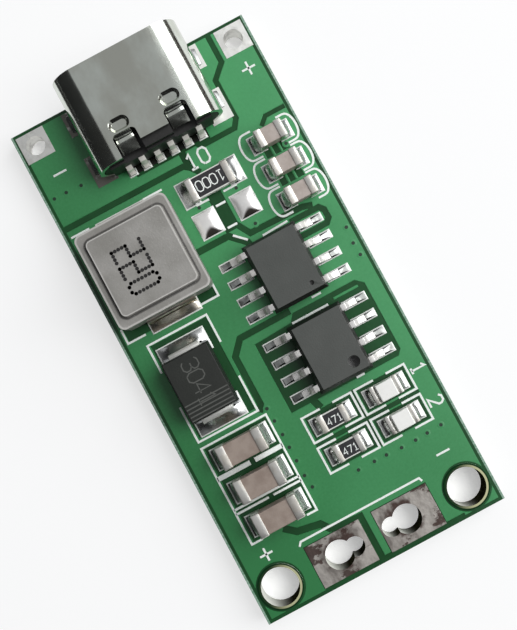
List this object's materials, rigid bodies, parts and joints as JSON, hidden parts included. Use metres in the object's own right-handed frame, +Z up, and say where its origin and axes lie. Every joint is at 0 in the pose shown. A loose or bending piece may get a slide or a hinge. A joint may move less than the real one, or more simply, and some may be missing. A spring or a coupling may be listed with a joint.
{
  "type": "lithium battery charger module",
  "caption": "Small green circuit board that charges a lithium cell, with a reversible power socket, moulded inductor, leaded chips, status lights and plated terminals.",
  "frame": {"origin": "middle of the board's flat underside", "axes": "+Z up from the underside to the parts, +Y towards the power socket, +X to the supply positive terminal"},
  "size_m": [0.0174, 0.0373, 0.0048],
  "materials": {
    "solder_mask": "green gloss solder mask over glass laminate",
    "tinned_copper": "hot tinned copper",
    "solder": "reflowed solder",
    "socket_steel": "bright nickel plated steel",
    "black_moulding": "black glass filled nylon",
    "contact_metal": "plated copper alloy",
    "inductor_compound": "grey pressed iron powder",
    "terminal_copper": "matt tin plate",
    "chip_moulding": "dark grey epoxy",
    "diode_moulding": "black epoxy",
    "chip_end_metal": "tin plated end caps",
    "alumina": "white alumina",
    "resistor_coat": "black overcoat",
    "capacitor_ceramic": "fired brown ceramic",
    "light_base": "white laminate",
    "light_lens": "milky clear epoxy"
  },
  "bodies": {
    "root": {"circuit_board": "solder_mask", "supply_ground_terminal": "tinned_copper", "supply_positive_terminal": "tinned_copper", "battery_positive_hole": "tinned_copper", "battery_ground_hole": "tinned_copper", "battery_positive_terminal": "tinned_copper", "battery_ground_terminal": "tinned_copper", "socket_leg_slots": "tinned_copper", "open_solder_lands": "tinned_copper", "socket_leg_solder": "solder", "socket_contact_joints": "solder", "inductor_joints": "solder", "diode_joints": "solder", "controller_joints": "solder", "transistor_joints": "solder", "sense_resistor_joints": "solder", "input_capacitor_joints": "solder", "output_capacitor_joints": "solder", "status_light_joints": "solder", "light_resistor_joints": "solder", "socket_shell": "socket_steel", "socket_mid_plate": "socket_steel", "socket_insulator": "black_moulding", "socket_contacts": "contact_metal", "inductor_body": "inductor_compound", "inductor_terminals": "terminal_copper", "diode_leads": "terminal_copper", "controller_leads": "terminal_copper", "transistor_leads": "terminal_copper", "controller_body": "chip_moulding", "transistor_body": "chip_moulding", "diode_body": "diode_moulding", "sense_resistor_caps": "chip_end_metal", "input_capacitor_caps": "chip_end_metal", "output_capacitor_caps": "chip_end_metal", "light_resistor_caps": "chip_end_metal", "status_light_ends": "chip_end_metal", "sense_resistor_core": "alumina", "light_resistor_cores": "alumina", "sense_resistor_coat": "resistor_coat", "light_resistor_coats": "resistor_coat", "input_capacitor_cores": "capacitor_ceramic", "output_capacitor_cores": "capacitor_ceramic", "status_light_bases": "light_base", "status_light_lenses": "light_lens"}
  },
  "joints": []
}
